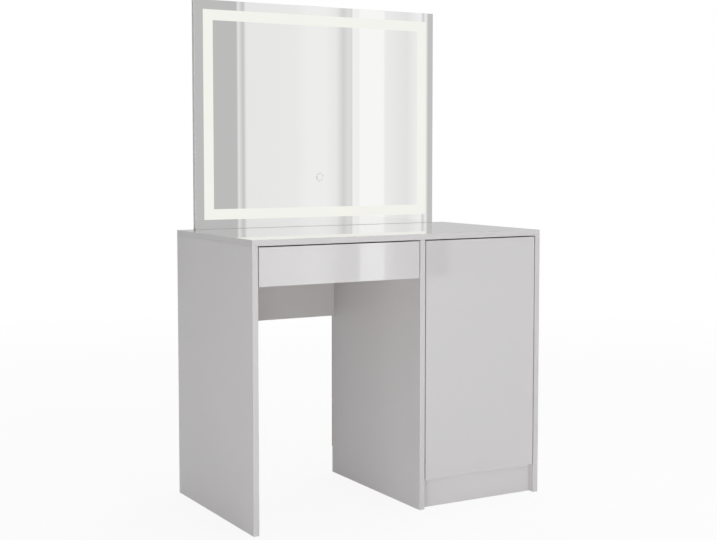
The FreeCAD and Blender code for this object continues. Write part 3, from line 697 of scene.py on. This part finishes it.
# Light round the studio: degrees from the front towards the right, brightness
worldSettings = {
    "soft": (  # what matt faces are lit by
        (-180, 1.10), (-135, 0.20), (-90, 0.05), (0, 0.05), (45, 0.10), (90, 1.30), (135, 1.30),
        (180, 1.10)),
    "polished": 1.06,  # strength of the next two, which polished faces see
    "round": (
        (-180, 0.55), (-120, 0.57), (-80, 0.76), (-60, 0.84), (-42, 0.84), (-38, 0.60), (-26, 0.60),
        (-24, 0.84), (-5.4, 0.84), (-4.0, 0.56), (-1.0, 0.56), (0.4, 0.80), (6, 0.84), (8, 0.90),
        (14, 0.86), (17, 0.60), (22.3, 0.535), (33.8, 0.90), (60, 0.85), (100, 0.59), (180, 0.55)),
    "flats": (  # tall flats seen in the mirror, finer than the round
        (22.3, 0.535), (24.41, 0.535), (24.49, 0.83), (24.67, 0.605), (24.72, 0.605), (24.83, 0.85),
        (26.99, 0.87), (27.54, 0.91), (28.29, 0.91), (28.79, 0.86), (29.10, 0.68), (29.37, 0.78),
        (29.46, 0.70), (29.53, 0.935), (29.77, 0.915), (29.84, 0.99), (30.87, 0.99), (30.94, 0.89),
        (31.9, 0.82), (32.19, 0.875), (32.52, 0.93), (32.58, 0.70), (32.64, 0.70), (32.70, 0.91),
        (32.75, 0.89), (32.82, 0.565), (33.8, 0.565)),
    "flatsEdge": 0.0001,  # how softly the flats begin and end
}


def studioWorld(settings):
    world = bpy.data.worlds.new("studio")
    bpy.context.scene.world = world
    world.use_nodes = True
    tree = Nodes(world.node_tree)
    along = tree.node("SeparateXYZ", {}, {0: tree.node("TexCoord", out="Generated")})
    turn = tree.node("Math", {"operation": "ARCTAN2"}, {0: along, 1: 0.0 - along.other("Y")})

    def across(tones):  # 0 to 1 from the first place to the last
        return tree.spread(turn, math.radians(tones[0][0]), math.radians(tones[-1][0]))

    def ramp(tones):
        return tree.node("ValToRGB", {"stops": greyStops(tones)}, {0: across(tones)})

    inFlats = across(settings["flats"])
    inFlats = tree.spread(inFlats * (1.0 - inFlats), 0.0, settings["flatsEdge"])
    seen = tree.blend(inFlats, ramp(settings["round"]), ramp(settings["flats"]))
    path = tree.node("LightPath", out="Is Camera Ray")
    white = tree.spread(path + path.other("Is Transmission Ray"), 0.0, 1.0)
    soft = tree.node("Background", {}, {"Color": ramp(settings["soft"]), "Strength": 1.0})
    polished = tree.node("Background", {}, {"Color": seen, "Strength": settings["polished"]})
    plain = tree.node("Background", {}, {"Color": (1.0, 1.0, 1.0), "Strength": 1.0})
    mixed = tree.node("MixShader", {}, {0: path.other("Is Glossy Ray"), 1: soft, 2: polished})
    mixed = tree.node("MixShader", {}, {0: white, 1: mixed, 2: plain})
    tree.node("OutputWorld", {}, {"Surface": mixed})


studioWorld(worldSettings)

lampSettings = (
    {"name": "key", "watts": 24.0, "size": (2.4, 1.8), "inGloss": False,
     "place": (1.2, -3.2, 3.2), "target": (0.0, -0.1, 0.6)},
    {"name": "left fill", "watts": 122.0, "size": (3.2, 1.0), "inGloss": False,
     "place": (-3.9, -5.0, 0.6), "target": (0.0, 0.0, 0.5)},
    {"name": "side fill", "watts": 68.0, "size": (3.2, 1.2), "inGloss": False,
     "place": (-5.5, -3.2, 0.7), "target": (0.0, 0.0, 0.5)},
    {"name": "front fill", "watts": 38.0, "size": (2.6, 0.7), "inGloss": False,
     "place": (0.2, -4.4, 0.4), "target": (0.0, 0.0, 0.4)},
    {"name": "overhead", "watts": 24.0, "size": (2.2, 2.2), "inGloss": True,
     "place": (0.3, -0.5, 3.2), "target": (0.0, 0.0, 0.7)},
)


def addLamp(settings):
    data = bpy.data.lights.new(settings["name"], "AREA")
    data.shape = "RECTANGLE"
    data.size, data.size_y = settings["size"]
    data.energy = settings["watts"]
    lamp = bpy.data.objects.new(settings["name"], data)
    lamp.location = settings["place"]
    aim = Vector(settings["target"]) - Vector(settings["place"])
    lamp.rotation_euler = aim.to_track_quat("-Z", "Y").to_euler()
    lamp.visible_glossy = settings["inGloss"]
    bpy.context.scene.collection.objects.link(lamp)


for lampSetting in lampSettings:
    addLamp(lampSetting)
print("world and lamps")

cameraSettings = {
    "place": (-1.820, -3.181, 0.971),
    "turn": 29.748,  # degrees to the right of straight ahead
    "dip": 3.884,  # degrees below level
    "lens": 65.04,
    "shift": -0.040,
}


def addCamera(settings):
    data = bpy.data.cameras.new("photo view")
    data.lens = settings["lens"]
    data.shift_y = settings["shift"]
    camera = bpy.data.objects.new("photo view", data)
    camera.location = settings["place"]
    camera.rotation_euler = (math.radians(90 - settings["dip"]), 0.0, -math.radians(settings["turn"]))
    bpy.context.scene.collection.objects.link(camera)
    bpy.context.scene.camera = camera


addCamera(cameraSettings)
bpy.context.scene.view_settings.view_transform = "Standard"
print("camera set")

bpy.context.view_layer.update()
